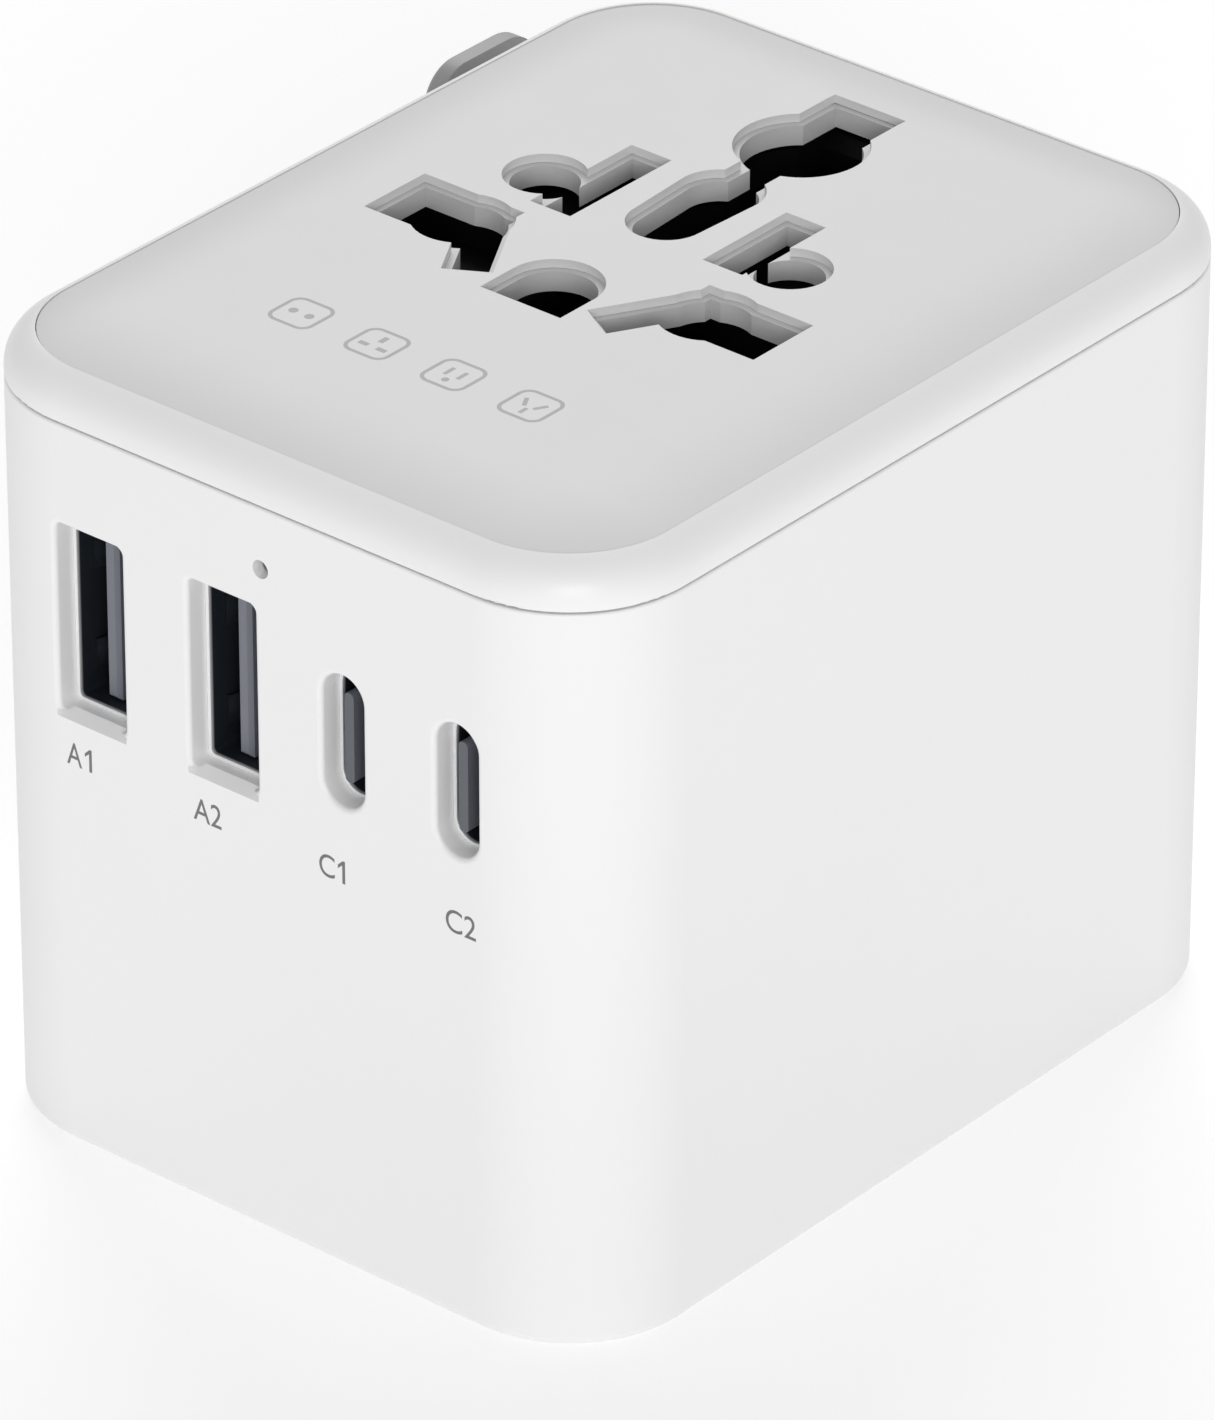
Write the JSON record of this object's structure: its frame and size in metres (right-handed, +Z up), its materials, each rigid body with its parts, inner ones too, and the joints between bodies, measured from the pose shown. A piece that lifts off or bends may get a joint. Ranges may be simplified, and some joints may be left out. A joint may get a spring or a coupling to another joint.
{
  "type": "universal travel adapter",
  "caption": "Block travel adapter with a multi-standard socket on top, retractable plug pins below, a side selector knob and USB charging ports.",
  "frame": {"origin": "centre of the plug face, the flat face that the adapter stands on", "axes": "+Z up towards the socket plate, +Y from the USB face to the back, +X to the right when facing the USB ports"},
  "size_m": [0.0538, 0.0636, 0.0536],
  "materials": {
    "white_shell": "satin moulded polycarbonate",
    "grey_plate": "soft matt grey",
    "knob_grey": "matt mid grey",
    "black_plastic": "matt black",
    "pin_brass": "nickel-washed brass",
    "contact_brass": "bright brass",
    "steel": "bright steel",
    "tongue": "slate grey",
    "board": "green solder mask",
    "ferrite": "dull ferrite",
    "copper_tape": "yellow winding tape",
    "can": "dark sleeved can",
    "clear_pipe": "clear acrylic",
    "led_body": "white",
    "barrier_film": "insulating film",
    "fuse_body": "sand-filled tube"
  },
  "bodies": {
    "casing": {"body_shell": "white_shell", "top_cover": "white_shell", "socket_plate": "grey_plate", "plug_plate": "white_shell", "casing_screws": "steel", "shutter_frame": "black_plastic", "front_shutter_springs": "steel", "right_shutter_spring": "steel", "left_shutter_spring": "steel", "contact_block": "black_plastic", "line_contact": "contact_brass", "neutral_contact": "contact_brass", "earth_contact": "contact_brass", "line_rail": "contact_brass", "neutral_rail": "contact_brass", "earth_rail": "contact_brass", "usb_board": "board", "power_board": "board", "light_pipe": "clear_pipe", "status_led": "led_body", "transformer_core": "ferrite", "transformer_winding": "copper_tape", "capacitors": "can", "rectifier": "black_plastic", "safety_barrier": "barrier_film", "mains_fuse": "fuse_body", "fuse_clips": "steel", "fuse_holder": "black_plastic", "usb_a1_shell": "steel", "usb_a1_tongue": "tongue", "usb_a2_shell": "steel", "usb_a2_tongue": "tongue", "usb_c1_shell": "steel", "usb_c1_tongue": "tongue", "usb_c2_shell": "steel", "usb_c2_tongue": "tongue"},
    "knob": {"knob_grip": "knob_grey", "knob_stem": "black_plastic"},
    "guide": {"lane_guide": "black_plastic", "lane_shield": "black_plastic"},
    "uk_plug": {"uk_carriage": "black_plastic", "uk_line_pin": "pin_brass", "uk_neutral_pin": "pin_brass", "uk_earth_pin": "pin_brass", "uk_pin_sleeves": "black_plastic"},
    "eu_plug": {"eu_carriage": "black_plastic", "eu_line_pin": "pin_brass", "eu_neutral_pin": "pin_brass", "eu_pin_sleeves": "black_plastic"},
    "us_plug": {"us_carriage": "black_plastic"},
    "line_blade_hub": {"line_blade": "pin_brass", "line_blade_rotor": "black_plastic"},
    "neutral_blade_hub": {"neutral_blade": "pin_brass", "neutral_blade_rotor": "black_plastic"},
    "front_shutter_slide": {"front_shutter": "black_plastic"},
    "right_shutter_slide": {"right_shutter": "black_plastic"},
    "left_shutter_slide": {"left_shutter": "black_plastic"}
  },
  "joints": [
    {"name": "knob_select", "type": "slide", "parent": "casing", "child": "guide", "axis": [0, -1, 0], "range_m": [0, 0.0208]},
    {"name": "knob_push", "type": "slide", "parent": "guide", "child": "knob", "axis": [0, 0, -1], "range_m": [0, 0.023]},
    {"name": "uk_plug_push", "type": "slide", "parent": "casing", "child": "uk_plug", "axis": [0, 0, -1], "range_m": [0, 0.023]},
    {"name": "eu_plug_push", "type": "slide", "parent": "casing", "child": "eu_plug", "axis": [0, 0, -1], "range_m": [0, 0.02]},
    {"name": "us_plug_push", "type": "slide", "parent": "casing", "child": "us_plug", "axis": [0, 0, -1], "range_m": [0, 0.018]},
    {"name": "line_blade_twist", "type": "hinge", "parent": "us_plug", "child": "line_blade_hub", "pos_m": [0.00635, -0.0096, 0.0255], "axis": [0, 0, -1], "range_deg": [0, 30]},
    {"name": "neutral_blade_twist", "type": "hinge", "parent": "us_plug", "child": "neutral_blade_hub", "pos_m": [-0.00635, -0.0096, 0.0255], "axis": [0, 0, 1], "range_deg": [0, 30]},
    {"name": "front_shutter_push", "type": "slide", "parent": "casing", "child": "front_shutter_slide", "axis": [0, -1, 0], "range_m": [0, 0.0094], "stiffness_N_per_m": 60, "springref_m": -0.004, "deforming": ["front_shutter_springs"]},
    {"name": "right_shutter_push", "type": "slide", "parent": "casing", "child": "right_shutter_slide", "axis": [1, 0, 0], "range_m": [0, 0.0074], "stiffness_N_per_m": 60, "springref_m": -0.004, "deforming": ["right_shutter_spring"]},
    {"name": "left_shutter_push", "type": "slide", "parent": "casing", "child": "left_shutter_slide", "axis": [-1, 0, 0], "range_m": [0, 0.0074], "stiffness_N_per_m": 60, "springref_m": -0.004, "deforming": ["left_shutter_spring"]}
  ],
  "couplings": [
    {"joint": "uk_plug_push", "follows": "knob_push", "ratio": 1}
  ]
}
